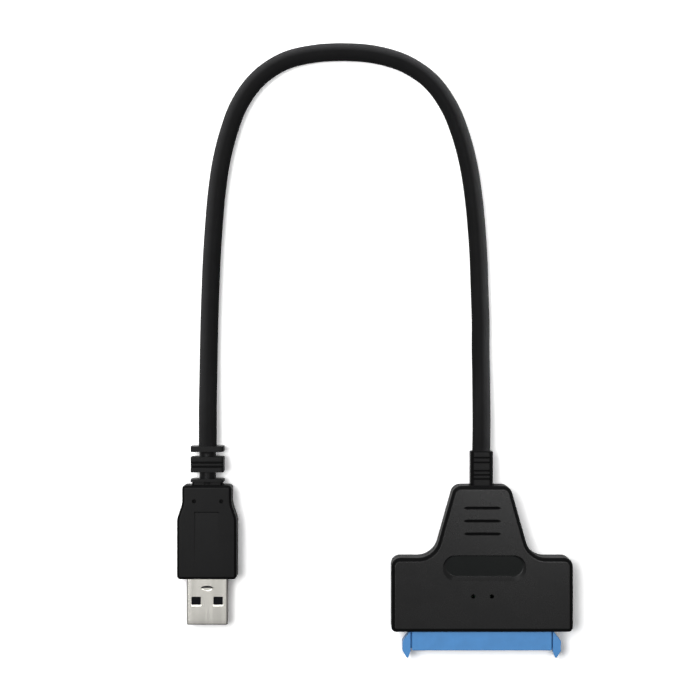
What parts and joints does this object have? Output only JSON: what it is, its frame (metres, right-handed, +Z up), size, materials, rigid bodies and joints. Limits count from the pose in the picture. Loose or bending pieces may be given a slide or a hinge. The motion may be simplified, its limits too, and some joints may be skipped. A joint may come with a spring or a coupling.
{
  "type": "usb to sata adapter",
  "caption": "black USB to SATA adapter lead: flat head with a blue drive connector, short looped cable and USB A plug",
  "frame": {"origin": "bottom centre of the head, connector and sleeve together, on the table", "axes": "+Z up from the table through the head's thickness, +Y from the drive connector to the lead, +X to the head's right seen from above"},
  "size_m": [0.1152, 0.1798, 0.0096],
  "materials": {
    "housing_black": "fine satin",
    "moulding_black": "soft satin",
    "connector_blue": "satin",
    "contact_gold": "gold plated",
    "board_green": "solder mask",
    "chip_black": "matt",
    "can_steel": "smooth",
    "ferrite_grey": "matt",
    "ceramic_tan": "satin",
    "lamp_lens": "clear, unlit",
    "wire_supply_plastic": "satin",
    "wire_data_minus_plastic": "satin",
    "wire_data_plus_plastic": "satin",
    "wire_ground_plastic": "satin",
    "wire_pair_send_plastic": "satin",
    "wire_pair_receive_plastic": "satin",
    "jacket_black": "satin",
    "shell_steel": "smooth nickel",
    "insulator_black": "satin",
    "plug_contact_gold": "gold plated"
  },
  "bodies": {
    "root": {"head_top_cover": "housing_black", "head_bottom_cover": "housing_black", "head_strain_relief": "moulding_black", "sata_connector_body": "connector_blue", "signal_contact_01": "contact_gold", "signal_contact_02": "contact_gold", "signal_contact_03": "contact_gold", "signal_contact_04": "contact_gold", "signal_contact_05": "contact_gold", "signal_contact_06": "contact_gold", "signal_contact_07": "contact_gold", "power_contact_01": "contact_gold", "power_contact_02": "contact_gold", "power_contact_03": "contact_gold", "power_contact_04": "contact_gold", "power_contact_05": "contact_gold", "power_contact_06": "contact_gold", "power_contact_07": "contact_gold", "power_contact_08": "contact_gold", "power_contact_09": "contact_gold", "power_contact_10": "contact_gold", "power_contact_11": "contact_gold", "power_contact_12": "contact_gold", "power_contact_13": "contact_gold", "power_contact_14": "contact_gold", "power_contact_15": "contact_gold", "circuit_board": "board_green", "bridge_chip": "chip_black", "crystal": "can_steel", "memory_chip": "chip_black", "power_inductor": "ferrite_grey", "voltage_regulator": "chip_black", "input_capacitor": "ceramic_tan", "output_capacitor": "ceramic_tan", "power_lamp": "lamp_lens", "activity_lamp": "lamp_lens", "wire_supply": "wire_supply_plastic", "wire_data_minus": "wire_data_minus_plastic", "wire_data_plus": "wire_data_plus_plastic", "wire_ground": "wire_ground_plastic", "wire_pair_send": "wire_pair_send_plastic", "wire_pair_receive": "wire_pair_receive_plastic", "cable_jacket": "jacket_black", "usb_overmould": "moulding_black", "usb_shell": "shell_steel", "usb_insulator": "insulator_black", "usb_contact_1": "plug_contact_gold", "usb_contact_2": "plug_contact_gold", "usb_contact_3": "plug_contact_gold", "usb_contact_4": "plug_contact_gold", "usb_fast_contact_1": "plug_contact_gold", "usb_fast_contact_2": "plug_contact_gold", "usb_fast_contact_3": "plug_contact_gold", "usb_fast_contact_4": "plug_contact_gold", "usb_fast_contact_5": "plug_contact_gold"}
  },
  "joints": []
}
